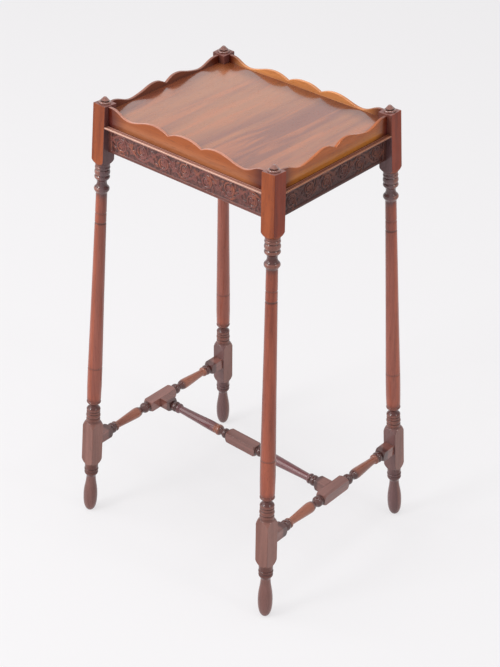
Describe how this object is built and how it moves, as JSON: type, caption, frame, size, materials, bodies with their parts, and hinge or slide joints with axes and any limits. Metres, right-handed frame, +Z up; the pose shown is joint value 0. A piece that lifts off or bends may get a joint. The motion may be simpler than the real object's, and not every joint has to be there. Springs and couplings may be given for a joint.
{
  "type": "kettle stand",
  "caption": "Tall small table with a scalloped gallery round its top, carved frieze, slender splayed turned legs and an H-shaped turned stretcher.",
  "frame": {"origin": "on the floor, midway between the four feet", "axes": "+X along the long sides, +Y along the short sides towards the rear, +Z up"},
  "size_m": [0.3892, 0.338, 0.712],
  "materials": {
    "leg_wood": "polished",
    "finial_wood": "polished",
    "frieze_wood": "polished",
    "gallery_wood": "polished",
    "moulding_wood": "polished",
    "tray_wood": "polished",
    "stretcher_wood": "polished",
    "glue_block_wood": "polished"
  },
  "bodies": {
    "root": {"leg_front_left": "leg_wood", "leg_front_right": "leg_wood", "leg_rear_right": "leg_wood", "leg_rear_left": "leg_wood", "finial_front_left": "finial_wood", "finial_front_right": "finial_wood", "finial_rear_right": "finial_wood", "finial_rear_left": "finial_wood", "rail_front": "frieze_wood", "rail_rear": "frieze_wood", "rail_left": "frieze_wood", "rail_right": "frieze_wood", "gallery_front": "gallery_wood", "gallery_rear": "gallery_wood", "gallery_left": "gallery_wood", "gallery_right": "gallery_wood", "moulding_front": "moulding_wood", "moulding_rear": "moulding_wood", "moulding_left": "moulding_wood", "moulding_right": "moulding_wood", "glue_block_front": "glue_block_wood", "glue_block_rear": "glue_block_wood", "glue_block_left": "glue_block_wood", "glue_block_right": "glue_block_wood", "tray_board": "tray_wood", "stretcher_left": "stretcher_wood", "stretcher_right": "stretcher_wood", "stretcher_centre": "stretcher_wood"}
  },
  "joints": []
}
